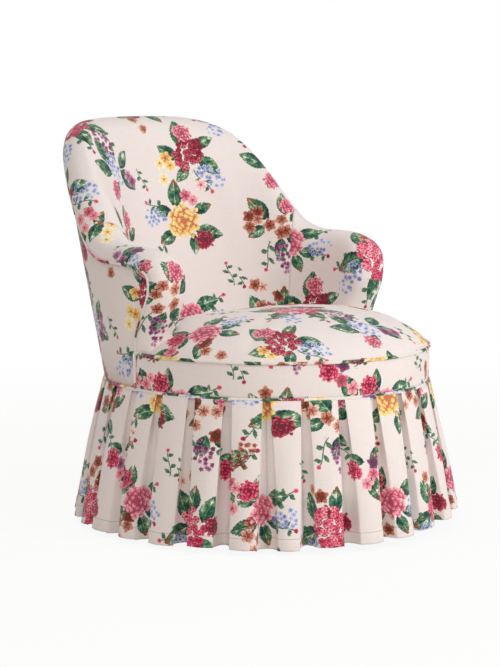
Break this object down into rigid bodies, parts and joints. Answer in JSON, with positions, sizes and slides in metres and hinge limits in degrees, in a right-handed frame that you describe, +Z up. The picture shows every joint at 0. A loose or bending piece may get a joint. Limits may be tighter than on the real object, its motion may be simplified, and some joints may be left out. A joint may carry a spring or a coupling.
{
  "type": "armchair",
  "caption": "Low tub armchair with a rounded raked back, scrolled arm fronts, a crowned round seat, piped seams and a long box-pleated skirt to the floor",
  "frame": {"origin": "on the floor under the centre of the chair's box", "axes": "+Z up, the sitter faces -Y, +X to the right of someone who looks along +Y"},
  "size_m": [0.823, 0.9046, 0.8505],
  "materials": {
    "printed_linen": "matt floral print",
    "upholstery_foam": "plain",
    "jute_webbing": "woven",
    "black_cambric": "plain",
    "beech": "planed",
    "millboard": "plain",
    "nylon": "smooth",
    "zinc_plated_steel": "zinc plated"
  },
  "bodies": {
    "root": {"back_foam": "upholstery_foam", "back_left_glide": "nylon", "back_left_leg": "beech", "back_left_leg_bolt": "zinc_plated_steel", "back_left_seat_rail": "beech", "back_right_glide": "nylon", "back_right_leg": "beech", "back_right_leg_bolt": "zinc_plated_steel", "back_right_seat_rail": "beech", "back_skirt": "printed_linen", "back_web_left": "jute_webbing", "back_web_middle": "jute_webbing", "back_web_right": "jute_webbing", "crest_rail": "beech", "dust_cover": "black_cambric", "front_left_glide": "nylon", "front_left_leg": "beech", "front_left_leg_bolt": "zinc_plated_steel", "front_left_seat_rail": "beech", "front_right_glide": "nylon", "front_right_leg": "beech", "front_right_leg_bolt": "zinc_plated_steel", "front_right_seat_rail": "beech", "front_skirt": "printed_linen", "inside_back_cover": "printed_linen", "left_arm_foam": "upholstery_foam", "left_arm_post": "beech", "left_arm_rail": "beech", "left_back_post": "beech", "left_inside_arm_cover": "printed_linen", "left_outside_arm_cover": "printed_linen", "left_outside_arm_liner": "millboard", "left_skirt": "printed_linen", "lower_back_rail": "beech", "outside_back_cover": "printed_linen", "outside_back_liner": "millboard", "right_arm_foam": "upholstery_foam", "right_arm_post": "beech", "right_arm_rail": "beech", "right_back_post": "beech", "right_inside_arm_cover": "printed_linen", "right_outside_arm_cover": "printed_linen", "right_outside_arm_liner": "millboard", "right_skirt": "printed_linen", "seat_band": "printed_linen", "seat_foam": "upholstery_foam", "seat_piping": "printed_linen", "seat_top_cover": "printed_linen", "seat_web_cross_1": "jute_webbing", "seat_web_cross_2": "jute_webbing", "seat_web_cross_3": "jute_webbing", "seat_web_cross_4": "jute_webbing", "seat_web_cross_5": "jute_webbing", "seat_web_long_1": "jute_webbing", "seat_web_long_2": "jute_webbing", "seat_web_long_3": "jute_webbing", "seat_web_long_4": "jute_webbing", "shell_piping": "printed_linen", "skirt_piping": "printed_linen"}
  },
  "joints": []
}
